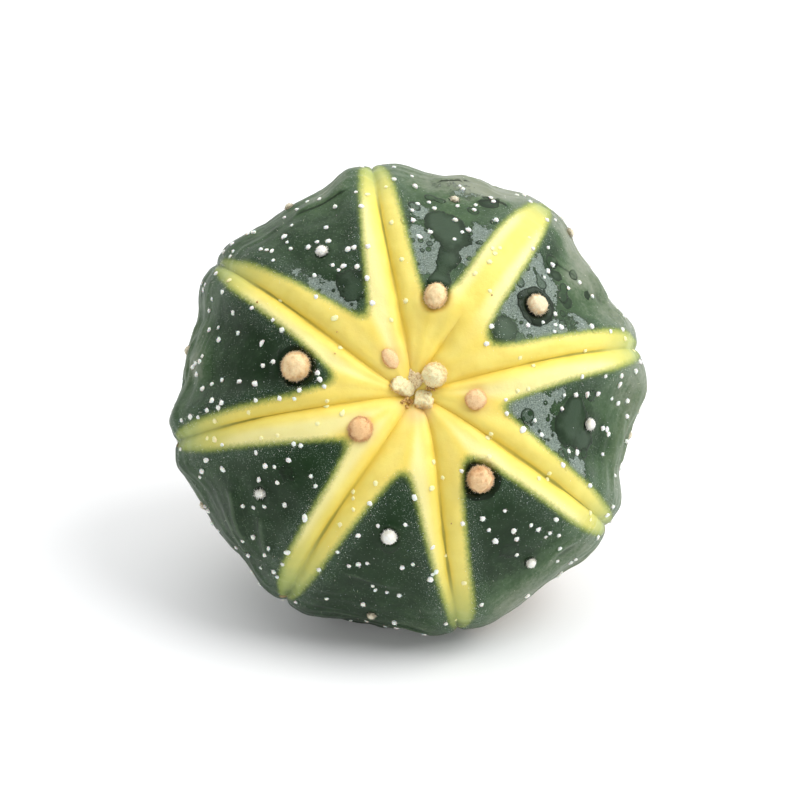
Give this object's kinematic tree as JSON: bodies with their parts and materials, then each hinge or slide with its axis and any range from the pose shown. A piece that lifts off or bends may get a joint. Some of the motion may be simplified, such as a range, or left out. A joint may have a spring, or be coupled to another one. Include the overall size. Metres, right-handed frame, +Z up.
{
  "type": "star cactus plant",
  "caption": "Low ribbed star cactus with a yellow star over dark green skin, woolly tufts down its ribs and white flecks, lying back on its forked root.",
  "frame": {"origin": "centre of the plant's bounding box, on the surface that it rests on", "axes": "+Z up from the resting surface, -Y towards the side that the crown faces, +X to the right of a viewer who looks at the crown"},
  "size_m": [0.065, 0.0666, 0.0584],
  "materials": {
    "skin": "waxy living skin, dark green with a yellow star along the furrows and white flecks",
    "wool": "matte felted wool, tan to cream, white on small tufts",
    "root": "matte corky bark with pale trimmed ends"
  },
  "bodies": {
    "root": {"areole_wool_1_1": "wool", "areole_wool_1_2": "wool", "areole_wool_1_3": "wool", "areole_wool_1_4": "wool", "areole_wool_2_1": "wool", "areole_wool_2_2": "wool", "areole_wool_2_3": "wool", "areole_wool_2_4": "wool", "areole_wool_2_5": "wool", "areole_wool_3_1": "wool", "areole_wool_3_2": "wool", "areole_wool_3_3": "wool", "areole_wool_3_4": "wool", "areole_wool_4_1": "wool", "areole_wool_4_2": "wool", "areole_wool_4_3": "wool", "areole_wool_4_4": "wool", "areole_wool_4_5": "wool", "areole_wool_5_1": "wool", "areole_wool_5_2": "wool", "areole_wool_5_3": "wool", "areole_wool_5_4": "wool", "areole_wool_6_1": "wool", "areole_wool_6_2": "wool", "areole_wool_6_3": "wool", "areole_wool_7_1": "wool", "areole_wool_7_2": "wool", "areole_wool_7_3": "wool", "areole_wool_7_4": "wool", "areole_wool_7_5": "wool", "areole_wool_8_1": "wool", "areole_wool_8_2": "wool", "areole_wool_8_3": "wool", "areole_wool_8_4": "wool", "cactus_body": "skin", "taproot": "root"}
  },
  "joints": []
}
